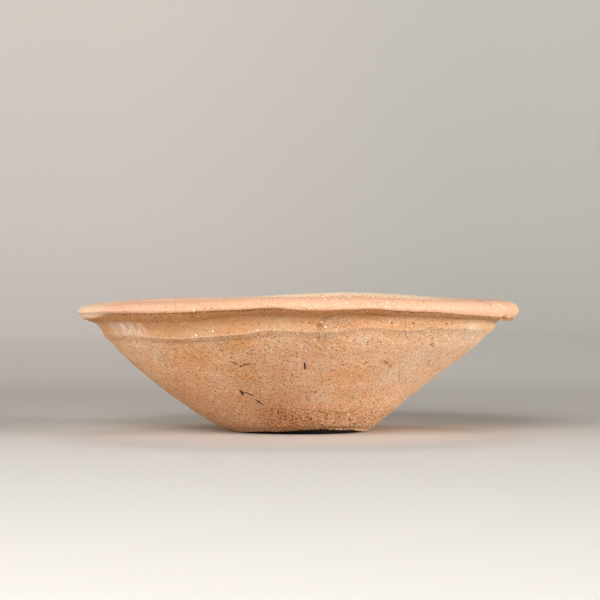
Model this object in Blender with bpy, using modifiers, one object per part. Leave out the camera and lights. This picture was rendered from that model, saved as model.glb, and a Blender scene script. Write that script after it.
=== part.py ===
"""A hand-finished earthenware bowl: one wheel-turned wall, warped and trimmed by hand.

The bowl is turned as a profile round the vertical axis, then pushed out of true the way the
fired pot is. Its rim rises and dips, the edge under its lip and the ridge under its collar
wander, one flank bellies out, and the foot stands clear of the floor along its front edge.
Metres, +Z up, origin on the floor under the middle of the bowl. Bearings are in degrees,
anticlockwise seen from above, from +X. The front of the bowl faces -Y, at 270.
"""

import bpy
import numpy as np

# Driving sizes of the turned bowl
RIM_DIAMETER = 0.240
HEIGHT = 0.0722
FOOT_DIAMETER = 0.0770
WALL = 0.0070
FLOOR_THICKNESS = 0.0090
LIP_OVERHANG = 0.0103
LIP_HEIGHT = 0.0118
LIP_EDGE_DROP = 0.0076
COLLAR_HEIGHT = 0.0064
COLLAR_TAPER = 0.0043
COLLAR_HOLLOW = 0.0008
RIDGE_STEP = 0.0003
FOOT_EDGE_ROUND = 0.0016
FOOT_RING_WIDTH = 0.0075

# How far the fired bowl is out of true
RIM_WARP = 0.0038
RIM_OVAL = 0.0004
RIDGE_WANDER = 0.0024
LIP_EDGE_WANDER = 0.0026
LIP_FACE_WOBBLE = 0.00025
LIP_FULLNESS = 0.0009
ROOT_WANDER = 0.0025
LEFT_BELLY = 0.0064
RIGHT_HOLLOW = 0.0017
WALL_DENT = 0.0005
FOOT_SHIFT = 0.0010
FOOT_LIFT = 0.0024

# Each wave is a share of its size above, at a few bearings round the bowl
RIM_WAVE = (
    (0, -0.24), (25, -0.08), (45, 0.26), (60, 0.74), (75, 1.00), (92, 0.66), (108, 0.22),
    (130, 0.05), (155, -0.42), (180, -0.79), (212, -0.63), (240, -0.26), (266, 0.17),
    (290, 0.03), (315, -0.24), (340, -0.32),
)
RIDGE_WAVE = (
    (0, 0.80), (40, 0.20), (90, -0.40), (135, 0.20), (180, -0.15), (211, 0.34), (217, 0.20),
    (224, -0.22), (233, -0.56), (240, -0.50), (250, -0.14), (256, 0.05), (261, 0.73), (265, 0.76),
    (272, 0.45), (278, 0.41), (283, 0.67), (288.5, 1.38), (291.5, 1.42), (296, 1.12), (302, 0.93),
    (309, 1.38), (324, 1.32), (336, 1.09),
)
ROOT_WAVE = (
    (0, 0.45), (45, 0.20), (90, 0.00), (135, 0.10), (180, 0.20), (212, 0.36), (221, 0.28),
    (230, 0.00), (241, 0.00), (249, 0.60), (256, 0.90), (264, 0.80), (271, 0.72), (283, 1.00),
    (297, 1.00), (308, 0.90), (317, 0.64), (330, 0.56), (345, 0.50),
)
LIP_EDGE_WAVE = (
    (0, -0.90), (45, -0.20), (90, 0.30), (135, -0.10), (180, 0.15), (212, 0.52), (221, 0.60),
    (231, 0.46), (240, 0.40), (250, 0.54), (258, 0.58), (264, 0.80), (271, 0.40), (281, 0.50),
    (289, 0.72), (296, 0.42), (307, 0.30), (316, -0.06), (327, -0.36), (334, -0.60), (343, -1.05),
)
FOOT_WAVE = (
    (0, 0.05), (90, 0.12), (180, 0.05), (206, 0.16), (228, 0.34), (244, 0.58), (256, 0.60),
    (270, 0.86), (286, 1.00), (303, 0.62), (315, 0.34), (328, 0.08),
)

# Fineness of the faceted solid
BEARINGS = 80
POINTS_PER_SPAN = 2

CLAY_COLOUR = (0.60, 0.33, 0.17, 1.0)
CLAY_ROUGHNESS = 0.9

rim_radius = RIM_DIAMETER / 2
foot_radius = FOOT_DIAMETER / 2
root_height = HEIGHT - LIP_HEIGHT
root_radius = rim_radius - LIP_OVERHANG
ridge_height = root_height - COLLAR_HEIGHT
ridge_radius = root_radius - COLLAR_TAPER
crest_radius = root_radius + WALL * 0.04
lip_edge_height = HEIGHT - LIP_EDGE_DROP
wall_run = ridge_radius - foot_radius
wall_length = float(np.hypot(wall_run, ridge_height))
inward = np.array([-ridge_height, wall_run]) / wall_length
floor_share = (FLOOR_THICKNESS - WALL * inward[1]) / ridge_height


def on_wall(share):
    """A point (radius, height) on the straight outer wall, from the foot at 0 to the ridge at 1."""
    return np.array([foot_radius + wall_run * share, ridge_height * share])


def inside_wall(share):
    """The point of the inner wall that faces the same share of the outer wall, one wall in."""
    return on_wall(share) + inward * WALL


def stations():
    """The section's control points (role, radius, height), from the inner floor to the foot."""
    floor_radius = inside_wall(floor_share)[0]
    points = [
        ("floor", 0.0, FLOOR_THICKNESS),
        ("floor", floor_radius * 0.40, FLOOR_THICKNESS + WALL * 0.02),
        ("floor", floor_radius * 0.75, FLOOR_THICKNESS + WALL * 0.12),
    ]
    for share in np.linspace(floor_share + 0.10, 0.88, 5):
        points.append(("inner wall", *inside_wall(share)))
    points += [
        ("inner collar", ridge_radius - WALL * 0.97, ridge_height + WALL * 0.46),
        ("inner collar", root_radius - WALL * 0.98, root_height + LIP_HEIGHT * 0.28),
        ("inner lip", root_radius - WALL * 0.84, root_height + LIP_HEIGHT * 0.62),
        ("inner lip", root_radius - WALL * 0.56, root_height + LIP_HEIGHT * 0.88),
        ("crest", crest_radius, HEIGHT),
        ("lip face", rim_radius - LIP_OVERHANG * 0.50, HEIGHT - LIP_EDGE_DROP * 0.07),
        ("lip face", rim_radius - LIP_OVERHANG * 0.16, HEIGHT - LIP_EDGE_DROP * 0.29),
        ("lip face", rim_radius, HEIGHT - LIP_EDGE_DROP * 0.62),
        ("lip edge", rim_radius - LIP_OVERHANG * 0.15, lip_edge_height),
        ("lip under", rim_radius - LIP_OVERHANG * 0.56, (lip_edge_height + root_height) / 2),
        ("root", root_radius, root_height),
    ]
    # the collar is hollowed a little between the root and the ridge
    for share, hollow in ((0.40, 1.0), (0.80, 0.5)):
        radius = root_radius - COLLAR_TAPER * share - COLLAR_HOLLOW * hollow
        points.append(("collar", radius, root_height - COLLAR_HEIGHT * share))
    points += [
        ("ridge", ridge_radius, ridge_height),
        ("wall", *(on_wall(0.975) + inward * RIDGE_STEP)),
    ]
    for share in (0.86, 0.68, 0.50, 0.32, 0.12):
        points.append(("wall", *on_wall(share)))
    points += [
        ("foot edge", foot_radius - FOOT_EDGE_ROUND * 0.10, FOOT_EDGE_ROUND * 0.55),
        ("foot rim", foot_radius - FOOT_EDGE_ROUND, 0.0),
        ("foot ring", foot_radius - FOOT_RING_WIDTH, 0.0),
        ("foot", 0.0, 0.0),
    ]
    return points


def hermite(t, gap, start, end, leaving, arriving):
    """A cubic across a gap, for t from 0 to 1, from its two ends and the slopes it has there."""
    return (
        (2 * t**3 - 3 * t**2 + 1) * start
        + (t**3 - 2 * t**2 + t) * gap * leaving
        + (3 * t**2 - 2 * t**3) * end
        + (t**3 - t**2) * gap * arriving
    )


def section(per_span):
    """The section as rows of (radius, height), in per_span steps from each station to the next.

    At a station the line's slope is the mean of those of the spans it joins. It turns sharply at
    the ridge, the lip's edge and round the flat foot, where each span keeps its own slope.
    """
    points = stations()
    place = np.array([[radius, height] for _, radius, height in points])
    chord = np.hypot(*np.diff(place, axis=0).T)
    along = np.concatenate([[0.0], np.cumsum(chord)])
    slope = np.gradient(place, along, axis=0, edge_order=1)
    span_slope = np.diff(place, axis=0) / chord[:, None]
    leaving, arriving = slope[:-1].copy(), slope[1:].copy()
    for i, (role, _, _) in enumerate(points):
        if role in ("ridge", "lip edge", "foot rim", "foot ring"):
            leaving[i] = span_slope[i]
            arriving[i - 1] = span_slope[i - 1]
    arriving[-1] = span_slope[-1]
    leaving[0] = span_slope[0]
    line = []
    for i in range(len(points) - 1):
        steps = 1 if points[i][0] in ("foot", "foot ring") else per_span
        t = (np.arange(steps) / steps)[:, None]
        line.append(hermite(t, chord[i], place[i], place[i + 1], leaving[i], arriving[i]))
    line.append(place[-1:])
    return np.concatenate(line)


def wave(bearing, table):
    """The table's value at each bearing in degrees, on a smooth closed curve through its pairs."""
    at = np.array([pair[0] for pair in table], float)
    value = np.array([pair[1] for pair in table], float)
    at = np.concatenate([at[-2:] - 360, at, at[:2] + 360])
    value = np.concatenate([value[-2:], value, value[:2]])
    slope = np.gradient(value, at)
    bearing = np.mod(bearing, 360.0)
    i = np.clip(np.searchsorted(at, bearing, side="right") - 1, 0, len(at) - 2)
    gap = at[i + 1] - at[i]
    t = (bearing - at[i]) / gap
    return hermite(t, gap, value[i], value[i + 1], slope[i], slope[i + 1])


def near(value, middle, reach):
    """1 at the middle, falling smoothly to 0 at reach on either side of it."""
    share = np.clip(1 - np.abs(value - middle) / reach, 0, 1)
    return share * share * (3 - 2 * share)


def out_of_true(radius, height, outside, bearing):
    """The fired bowl's (x, y, z) for points of the turned bowl, given as arrays.

    outside is 1 on the outer surface from the lip's crest down to the foot, and 0 inside it.
    """
    turn = np.radians(bearing)
    up = np.clip(height / HEIGHT, 0, 1)
    wall_share = np.clip(height / ridge_height, 0, 1)
    overhang = outside * (radius > root_radius)

    # the flank at 180 bellies out most, and the one at 0 is a little hollow
    leftward = 0.5 - 0.5 * np.cos(turn)
    swell = (LEFT_BELLY * leftward - RIGHT_HOLLOW * (1 - leftward) ** 2) * np.sin(np.pi * wall_share**0.8)

    # shallow dents from the hand, which leave the foot and the floor alone
    dents = (
        np.sin(3 * turn + 0.6)
        + 0.7 * np.sin(5 * turn + 6.0 * up)
        + 0.5 * np.sin(8 * turn - 4.0 * up)
    )
    standing = np.clip(height / FLOOR_THICKNESS, 0, 1) * np.clip(radius / foot_radius, 0, 1)
    swell += WALL_DENT * dents * standing

    # the lip's outer face wavers in and out, and its lower edge up and down
    wobble = np.sin(5 * turn + 1.0) + 0.6 * np.sin(9 * turn + 2.2) + 0.5 * np.sin(13 * turn + 0.4)
    swell += LIP_FACE_WOBBLE * wobble * overhang * near(height, lip_edge_height, LIP_HEIGHT * 0.7)
    lip_edge = LIP_EDGE_WANDER * wave(bearing, LIP_EDGE_WAVE)
    lip_edge *= overhang * near(height, lip_edge_height, LIP_HEIGHT * 0.34)

    # the lip is full down to that edge in front, and rounder towards its two ends
    full = LIP_FULLNESS * near(np.mod(bearing, 360.0), 268.0, 72.0) * overhang
    swell += full * near(height, lip_edge_height, LIP_HEIGHT * 0.26)

    # the root, where the underside of the lip meets the collar, is pressed higher in places
    reached = np.clip((radius - root_radius) / (LIP_OVERHANG * 0.85), 0, 1)
    root = ROOT_WANDER * wave(bearing, ROOT_WAVE) * outside * (1 - reached)
    root *= near(height, root_height, COLLAR_HEIGHT * 0.95)

    # the ridge rises and dips along the wall's own slope
    ridge = RIDGE_WANDER * wave(bearing, RIDGE_WAVE)
    ridge *= outside * near(height, ridge_height, COLLAR_HEIGHT * 1.05)
    swell += ridge * 0.5

    foot_lift = FOOT_LIFT * wave(bearing, FOOT_WAVE)
    foot_lift *= outside * near(radius, foot_radius, FOOT_RING_WIDTH) * near(height, 0.0, COLLAR_HEIGHT)

    far = radius + swell
    x = far * np.cos(turn) * (1 + RIM_OVAL / rim_radius) + FOOT_SHIFT * (1 - up)
    y = far * np.sin(turn) * (1 - RIM_OVAL / rim_radius)
    z = height + RIM_WARP * wave(bearing, RIM_WAVE) * up + lip_edge + root + ridge + foot_lift
    return x, y, z


def turned_bowl(name, collection):
    """The bowl as it left the wheel: its section swept round +Z by a Screw modifier."""
    line = section(POINTS_PER_SPAN)
    mesh = bpy.data.meshes.new(name + "_section")
    points = [(float(radius), 0.0, float(height)) for radius, height in line]
    mesh.from_pydata(points, [(i, i + 1) for i in range(len(points) - 1)], [])
    sweep = bpy.data.objects.new(name + "_section", mesh)
    collection.objects.link(sweep)
    screw = sweep.modifiers.new("turn", "SCREW")
    screw.axis = "Z"
    screw.steps = screw.render_steps = BEARINGS
    screw.use_merge_vertices = True
    screw.merge_threshold = 0.00001
    screw.use_smooth_shade = True
    bpy.context.view_layer.update()
    graph = bpy.context.evaluated_depsgraph_get()
    solid = bpy.data.meshes.new_from_object(sweep.evaluated_get(graph))
    solid.name = name
    bowl = bpy.data.objects.new(name, solid)
    collection.objects.link(bowl)
    bpy.data.objects.remove(sweep)
    return bowl, line


def warp(bowl, line):
    """Moves each vertex of the turned bowl to its place on the fired one."""
    mesh = bowl.data
    place = np.empty(len(mesh.vertices) * 3, np.float32)
    mesh.vertices.foreach_get("co", place)
    place = place.reshape(-1, 3).astype(float)
    radius = np.hypot(place[:, 0], place[:, 1])
    height = place[:, 2]
    bearing = np.degrees(np.arctan2(place[:, 1], place[:, 0]))
    away = np.hypot(radius[:, None] - line[None, :, 0], height[:, None] - line[None, :, 1])
    crest = int(np.argmax(line[:, 1]))
    outside = (away.argmin(axis=1) >= crest).astype(float)
    x, y, z = out_of_true(radius, height, outside, bearing)
    fired = np.stack([x, y, z], axis=1)
    middle = (fired.min(axis=0) + fired.max(axis=0)) / 2
    fired[:, :2] -= middle[:2]
    mesh.vertices.foreach_set("co", fired.astype(np.float32).ravel())
    mesh.update()


def clay():
    """Low-fired silt ware: a dull, sandy orange-brown."""
    material = bpy.data.materials.new("clay")
    material.use_nodes = True
    shader = material.node_tree.nodes["Principled BSDF"]
    shader.inputs["Base Color"].default_value = CLAY_COLOUR
    shader.inputs["Roughness"].default_value = CLAY_ROUGHNESS
    shader.inputs["Metallic"].default_value = 0.0
    return material


for old in list(bpy.data.objects):
    bpy.data.objects.remove(old)
parts = bpy.data.collections.new("Bowl")
bpy.context.scene.collection.children.link(parts)
bowl, line = turned_bowl("bowl", parts)
warp(bowl, line)
bowl.data.shade_smooth()
bowl.data.materials.clear()
bowl.data.materials.append(clay())
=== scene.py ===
"""An ancient earthenware bowl on a pale sweep, in soft light.

Metres, +Z up. The front of the bowl faces -Y. Bearings are in degrees, anticlockwise seen from
above, from +X, so the front is at 270.
"""

from itertools import product

import bpy
import numpy as np
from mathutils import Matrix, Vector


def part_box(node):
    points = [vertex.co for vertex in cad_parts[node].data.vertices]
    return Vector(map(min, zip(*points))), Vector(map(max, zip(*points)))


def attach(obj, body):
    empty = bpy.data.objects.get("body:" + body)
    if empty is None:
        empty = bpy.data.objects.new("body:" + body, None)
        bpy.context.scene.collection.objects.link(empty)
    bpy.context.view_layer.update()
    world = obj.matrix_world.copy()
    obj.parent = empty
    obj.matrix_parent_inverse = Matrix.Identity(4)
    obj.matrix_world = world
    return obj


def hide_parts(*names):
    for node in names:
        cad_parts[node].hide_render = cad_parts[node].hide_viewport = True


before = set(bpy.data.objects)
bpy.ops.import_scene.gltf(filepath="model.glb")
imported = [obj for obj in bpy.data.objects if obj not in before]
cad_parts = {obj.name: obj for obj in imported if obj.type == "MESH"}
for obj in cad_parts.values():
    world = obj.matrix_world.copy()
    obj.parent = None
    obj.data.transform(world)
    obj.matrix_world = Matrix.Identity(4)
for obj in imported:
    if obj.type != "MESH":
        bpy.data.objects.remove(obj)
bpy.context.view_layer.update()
scene = bpy.context.scene

# The bowl. Coarse silt clay with sand in it, thrown on a slow wheel, wiped with a wet hand, and
# fired low. The lip was folded over by hand, the wall below the collar was pared and wiped, and
# the pot sagged before it was dry, so that its rim, ridge and foot all wander.

# The section of the turned bowl
RIM_DIAMETER = 0.240
HEIGHT = 0.0722
FOOT_DIAMETER = 0.0770
WALL = 0.0070
FLOOR_THICKNESS = 0.0090
LIP_OVERHANG = 0.0103
LIP_HEIGHT = 0.0118
LIP_EDGE_DROP = 0.0076
COLLAR_HEIGHT = 0.0064
COLLAR_TAPER = 0.0043
COLLAR_HOLLOW = 0.0008
RIDGE_STEP = 0.0003
FOOT_EDGE_ROUND = 0.0016
FOOT_RING_WIDTH = 0.0075

# How far the fired bowl departs from it
RIM_WARP = 0.0038
RIM_OVAL = 0.0004
RIDGE_WANDER = 0.0024
LIP_EDGE_WANDER = 0.0026
LIP_FACE_WOBBLE = 0.00025
LIP_FULLNESS = 0.0009
ROOT_WANDER = 0.0025
LEFT_BELLY = 0.0064
RIGHT_HOLLOW = 0.0017
WALL_DENT = 0.0005
FOOT_SHIFT = 0.0010
FOOT_LIFT = 0.0029
FOOT_UNDERCUT = 0.0006

# How those departures run round the bowl: pairs of a bearing and a share of the size above
RIM_WAVE = (
    (0, -0.24), (25, -0.08), (45, 0.26), (60, 0.74), (75, 1.0), (92, 0.66), (108, 0.22),
    (130, 0.05), (155, -0.42), (180, -0.79), (212, -0.63), (240, -0.26), (266, 0.17),
    (290, 0.03), (315, -0.24), (340, -0.32),
)
RIDGE_WAVE = (
    (0, 0.8), (40, 0.2), (90, -0.4), (135, 0.2), (180, -0.15), (211, 0.34), (217, 0.2),
    (224, -0.22), (233, -0.56), (240, -0.5), (250, -0.14), (256, 0.05), (261, 0.73), (265, 0.76),
    (272, 0.45), (278, 0.41), (283, 0.67), (288.5, 1.38), (291.5, 1.42), (296, 1.12), (302, 0.93),
    (309, 1.38), (324, 1.32), (336, 1.09),
)
ROOT_WAVE = (
    (0, 0.45), (45, 0.2), (90, 0.0), (135, 0.1), (180, 0.2), (212, 0.36), (221, 0.28),
    (230, 0.0), (241, 0.0), (249, 0.6), (256, 0.9), (264, 0.8), (271, 0.72), (283, 1.0),
    (297, 1.0), (308, 0.9), (317, 0.64), (330, 0.56), (345, 0.5),
)
LIP_EDGE_WAVE = (
    (0, -0.9), (45, -0.2), (90, 0.3), (135, -0.1), (180, 0.15), (212, 0.52), (221, 0.6),
    (231, 0.46), (240, 0.4), (250, 0.54), (258, 0.58), (264, 0.8), (271, 0.4), (281, 0.5),
    (289, 0.72), (296, 0.42), (307, 0.3), (316, -0.06), (327, -0.36), (334, -0.6), (343, -1.05),
)
FOOT_WAVE = (
    (0, 0.05), (90, 0.12), (180, 0.05), (206, 0.16), (228, 0.34), (244, 0.58), (256, 0.6),
    (270, 0.86), (286, 1.0), (303, 0.76), (318, 0.62), (330, 0.3), (343, 0.08),
)

rim_radius = RIM_DIAMETER / 2
foot_radius = FOOT_DIAMETER / 2
root_height = HEIGHT - LIP_HEIGHT
root_radius = rim_radius - LIP_OVERHANG
ridge_height = root_height - COLLAR_HEIGHT
ridge_radius = root_radius - COLLAR_TAPER
crest_radius = root_radius + WALL * 0.04
lip_edge_height = HEIGHT - LIP_EDGE_DROP
wall_run = ridge_radius - foot_radius
wall_length = float(np.hypot(wall_run, ridge_height))
inward = np.array([-ridge_height, wall_run]) / wall_length
floor_share = (FLOOR_THICKNESS - WALL * inward[1]) / ridge_height

# How far apart the mesh's rows lie along each stretch of the section
ROW_STEP = {
    "floor": 0.0050, "inner wall": 0.0030, "inner collar": 0.0022, "inner lip": 0.0014,
    "crest": 0.0010, "lip face": 0.0009, "lip edge": 0.0003, "lip under": 0.0006,
    "root": 0.0008, "collar": 0.0008, "ridge": 0.0005, "wall": 0.0012, "foot edge": 0.0005,
    "foot rim": 0.0003, "foot ring": 0.0050, "foot": 0.0050,
}
FINE_ROW_STEP = 0.00045
FINE_HEIGHTS = ((0.0150, 0.0250), (0.0350, 0.0415))
FRONT_COLUMN_STEP = 0.62
BACK_COLUMN_STEP = 2.1
FINE_COLUMN_STEP = 0.25
FINE_BEARINGS = ((245.0, 256.0), (271.2, 273.4))
FRONT_BEARINGS = (175.0, 365.0)


def on_wall(share):
    """A point (radius, height) on the straight outer wall, from the foot at 0 to the ridge at 1."""
    return np.array([foot_radius + wall_run * share, ridge_height * share])


def inside_wall(share):
    """The point of the inner wall that faces the same share of the outer wall, one wall in."""
    return on_wall(share) + inward * WALL


def stations():
    """The section's control points (role, radius, height), from the inner floor to the foot."""
    floor_radius = inside_wall(floor_share)[0]
    points = [
        ("floor", 0.0, FLOOR_THICKNESS),
        ("floor", floor_radius * 0.40, FLOOR_THICKNESS + WALL * 0.02),
        ("floor", floor_radius * 0.75, FLOOR_THICKNESS + WALL * 0.12),
    ]
    for share in np.linspace(floor_share + 0.10, 0.88, 5):
        points.append(("inner wall", *inside_wall(share)))
    points += [
        ("inner collar", ridge_radius - WALL * 0.97, ridge_height + WALL * 0.46),
        ("inner collar", root_radius - WALL * 0.98, root_height + LIP_HEIGHT * 0.28),
        ("inner lip", root_radius - WALL * 0.84, root_height + LIP_HEIGHT * 0.62),
        ("inner lip", root_radius - WALL * 0.56, root_height + LIP_HEIGHT * 0.88),
        ("crest", crest_radius, HEIGHT),
        ("lip face", rim_radius - LIP_OVERHANG * 0.50, HEIGHT - LIP_EDGE_DROP * 0.07),
        ("lip face", rim_radius - LIP_OVERHANG * 0.16, HEIGHT - LIP_EDGE_DROP * 0.29),
        ("lip face", rim_radius, HEIGHT - LIP_EDGE_DROP * 0.62),
        ("lip edge", rim_radius - LIP_OVERHANG * 0.15, lip_edge_height),
        ("lip under", rim_radius - LIP_OVERHANG * 0.56, (lip_edge_height + root_height) / 2),
        ("root", root_radius, root_height),
    ]
    # the collar is hollowed a little between the root and the ridge
    for share, hollow in ((0.40, 1.0), (0.80, 0.5)):
        radius = root_radius - COLLAR_TAPER * share - COLLAR_HOLLOW * hollow
        points.append(("collar", radius, root_height - COLLAR_HEIGHT * share))
    points += [
        ("ridge", ridge_radius, ridge_height),
        ("wall", *(on_wall(0.975) + inward * RIDGE_STEP)),
    ]
    for share in (0.86, 0.68, 0.50, 0.32, 0.12):
        points.append(("wall", *on_wall(share)))
    points += [
        ("foot edge", foot_radius - FOOT_EDGE_ROUND * 0.10, FOOT_EDGE_ROUND * 0.55),
        ("foot rim", foot_radius - FOOT_EDGE_ROUND, 0.0),
        ("foot ring", foot_radius - FOOT_RING_WIDTH, 0.0),
        ("foot", 0.0, 0.0),
    ]
    return points


def hermite(t, gap, start, end, leaving, arriving):
    """A cubic across a gap, for t from 0 to 1, from its two ends and the slopes it has there."""
    return (
        (2 * t**3 - 3 * t**2 + 1) * start
        + (t**3 - 2 * t**2 + t) * gap * leaving
        + (3 * t**2 - 2 * t**3) * end
        + (t**3 - t**2) * gap * arriving
    )


def section():
    """The section's rows: (radius, height) and distance along, and where each station lies along.

    The line is a cubic between stations, turning sharply only at the ridge, the lip's edge and
    the flat foot. It is cut very finely, and a row is then kept at each whole step, where the
    steps have the length that ROW_STEP gives, or the fine one at the heights of the cracks.
    """
    points = stations()
    roles = [role for role, _, _ in points]
    place = np.array([[radius, height] for _, radius, height in points])
    chord = np.hypot(*np.diff(place, axis=0).T)
    along = np.concatenate([[0.0], np.cumsum(chord)])
    slope = np.gradient(place, along, axis=0, edge_order=1)
    span_slope = np.diff(place, axis=0) / chord[:, None]
    leaving, arriving = slope[:-1].copy(), slope[1:].copy()
    for i, role in enumerate(roles):
        if role in ("ridge", "lip edge", "foot rim", "foot ring"):
            leaving[i] = span_slope[i]
            arriving[i - 1] = span_slope[i - 1]
    arriving[-1] = span_slope[-1]
    leaving[0] = span_slope[0]
    cuts = 60
    t = (np.arange(cuts) / cuts)[:, None]
    line = np.concatenate(
        [
            hermite(t, chord[i], place[i], place[i + 1], leaving[i], arriving[i])
            for i in range(len(points) - 1)
        ]
        + [place[-1:]]
    )
    arc = np.concatenate([[0.0], np.cumsum(np.hypot(*np.diff(line, axis=0).T))])
    step = np.repeat([ROW_STEP[role] for role in roles[:-1]], cuts)
    on_outside = np.arange(len(step)) >= roles.index("crest") * cuts
    for low, high in FINE_HEIGHTS:
        near_crack = on_outside & (line[:-1, 1] > low) & (line[:-1, 1] < high)
        step = np.where(near_crack, FINE_ROW_STEP, step)
    count = np.concatenate([[0.0], np.cumsum(np.diff(arc) / step)])
    kept = np.interp(np.linspace(0.0, count[-1], int(count[-1]) + 1), count, arc)
    rows = np.stack([np.interp(kept, arc, line[:, k]) for k in (0, 1)], axis=1)
    return rows, kept, {role: arc[roles.index(role) * cuts] for role in set(roles)}


def columns():
    """The mesh's bearings, close together in front, closest at the cracks, and wider behind."""
    fine = np.linspace(FRONT_BEARINGS[0], FRONT_BEARINGS[0] + 360.0, 36001)
    step = np.where(fine < FRONT_BEARINGS[1], FRONT_COLUMN_STEP, BACK_COLUMN_STEP)
    for low, high in FINE_BEARINGS:
        step = np.where((fine > low) & (fine < high), FINE_COLUMN_STEP, step)
    count = np.concatenate([[0.0], np.cumsum(np.diff(fine) / step[1:])])
    return np.interp(np.linspace(0.0, count[-1], int(count[-1]) + 1)[:-1], count, fine)


def wave(bearing, table):
    """The table's value at each bearing in degrees, on a smooth closed curve through its pairs."""
    at = np.array([pair[0] for pair in table], float)
    value = np.array([pair[1] for pair in table], float)
    at = np.concatenate([at[-2:] - 360, at, at[:2] + 360])
    value = np.concatenate([value[-2:], value, value[:2]])
    slope = np.gradient(value, at)
    bearing = np.mod(bearing, 360.0)
    i = np.clip(np.searchsorted(at, bearing, side="right") - 1, 0, len(at) - 2)
    gap = at[i + 1] - at[i]
    t = (bearing - at[i]) / gap
    return hermite(t, gap, value[i], value[i + 1], slope[i], slope[i + 1])


def near(value, middle, reach):
    """1 at the middle, falling smoothly to 0 at reach on either side of it."""
    share = np.clip(1 - np.abs(value - middle) / reach, 0, 1)
    return share * share * (3 - 2 * share)


def between(value, low, high, soft):
    """1 from low to high, and falling smoothly to 0 over the distance soft outside them."""
    share = np.clip(np.minimum(value - low, high - value) / soft + 1, 0, 1)
    return share * share * (3 - 2 * share)


def out_of_true(radius, height, outside, bearing):
    """The fired bowl's (x, y, z) for points of the turned bowl, given as arrays.

    outside is 1 on the outer surface from the lip's crest down to the foot, and 0 inside it.
    """
    turn = np.radians(bearing)
    up = np.clip(height / HEIGHT, 0, 1)
    wall_share = np.clip(height / ridge_height, 0, 1)
    overhang = outside * (radius > root_radius)

    # the flank at 180 bellies out most, and the one at 0 is a little hollow
    leftward = 0.5 - 0.5 * np.cos(turn)
    swell = LEFT_BELLY * leftward - RIGHT_HOLLOW * (1 - leftward) ** 2
    swell = swell * np.sin(np.pi * wall_share**0.8)

    # shallow dents from the hand, which leave the foot and the floor alone
    dents = (
        np.sin(3 * turn + 0.6)
        + 0.7 * np.sin(5 * turn + 6.0 * up)
        + 0.5 * np.sin(8 * turn - 4.0 * up)
    )
    standing = np.clip(height / FLOOR_THICKNESS, 0, 1) * np.clip(radius / foot_radius, 0, 1)
    swell = swell + WALL_DENT * dents * standing

    # the lip's outer face wavers in and out, and its lower edge up and down
    wobble = np.sin(5 * turn + 1.0) + 0.6 * np.sin(9 * turn + 2.2) + 0.5 * np.sin(13 * turn + 0.4)
    wobble = LIP_FACE_WOBBLE * wobble * overhang
    swell = swell + wobble * near(height, lip_edge_height, LIP_HEIGHT * 0.7)
    lip_edge = LIP_EDGE_WANDER * wave(bearing, LIP_EDGE_WAVE)
    lip_edge = lip_edge * overhang * near(height, lip_edge_height, LIP_HEIGHT * 0.34)

    # the lip is full down to that edge in front, and rounder towards its two ends
    full = LIP_FULLNESS * near(np.mod(bearing, 360.0), 268.0, 72.0) * overhang
    swell = swell + full * near(height, lip_edge_height, LIP_HEIGHT * 0.26)

    # the root, where the underside of the lip meets the collar, is pressed higher in places
    reached = np.clip((radius - root_radius) / (LIP_OVERHANG * 0.85), 0, 1)
    root = ROOT_WANDER * wave(bearing, ROOT_WAVE) * outside * (1 - reached)
    root = root * near(height, root_height, COLLAR_HEIGHT * 0.95)

    # the ridge rises and dips along the wall's own slope
    ridge = RIDGE_WANDER * wave(bearing, RIDGE_WAVE)
    ridge = ridge * outside * near(height, ridge_height, COLLAR_HEIGHT * 1.05)
    swell = swell + ridge * 0.5

    # the foot's edge is lifted off the floor in front, and undercut, so that a gap shows below it
    undercut = np.clip(1 - (foot_radius - FOOT_EDGE_ROUND - radius) / FOOT_UNDERCUT, 0, 1)
    flare = np.where(radius < foot_radius, undercut, near(radius, foot_radius, FOOT_RING_WIDTH))
    foot_lift = FOOT_LIFT * wave(bearing, FOOT_WAVE) * outside
    foot_lift = foot_lift * flare * near(height, 0.0, COLLAR_HEIGHT)

    far = radius + swell
    x = far * np.cos(turn) * (1 + RIM_OVAL / rim_radius) + FOOT_SHIFT * (1 - up)
    y = far * np.sin(turn) * (1 - RIM_OVAL / rim_radius)
    z = height + RIM_WARP * wave(bearing, RIM_WAVE) * up + lip_edge + root + ridge + foot_lift
    return np.stack([x, y, z], axis=-1)


rows, row_arc, station_arc = section()
bearings = columns()
outer = (row_arc >= station_arc["crest"]).astype(float)[:, None]
smooth = out_of_true(rows[:, :1], rows[:, 1:], outer, bearings[None, :])
smooth[..., :2] -= (smooth.min(axis=(0, 1)) + smooth.max(axis=(0, 1)))[:2] / 2
height = smooth[..., 2]
arc = np.broadcast_to(row_arc[:, None], height.shape)
bearing = np.broadcast_to(np.mod(bearings, 360.0)[None, :], height.shape)

# the surface's outward direction, from the steps to the next row and the next column
down_section = np.gradient(smooth, axis=0)
round_bowl = np.roll(smooth, -1, axis=1) - np.roll(smooth, 1, axis=1)
outward = np.cross(down_section, round_bowl)
outward[0] = (0.0, 0.0, 1.0)
outward[-1] = (0.0, 0.0, -1.0)
outward /= np.linalg.norm(outward, axis=-1, keepdims=True) + 1e-12

# Grain, pits and strokes are fields over the whole surface, from 0 or -1 to 1
chance = np.random.default_rng(31).uniform(-1.0, 1.0, (4, 64, 64, 64))


def grain(points, size, layer=0):
    """Smooth noise from -1 to 1: random numbers on a cubic lattice of that size, blended between."""
    cell = points / size
    low = np.floor(cell).astype(int)
    t = cell - low
    t = t * t * (3 - 2 * t)
    total = np.zeros(points.shape[:-1])
    for corner in product((0, 1), repeat=3):
        weight = np.prod(np.where(corner, t, 1 - t), axis=-1)
        at = np.mod(low + corner, 64)
        total += weight * chance[layer, at[..., 0], at[..., 1], at[..., 2]]
    return total


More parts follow.
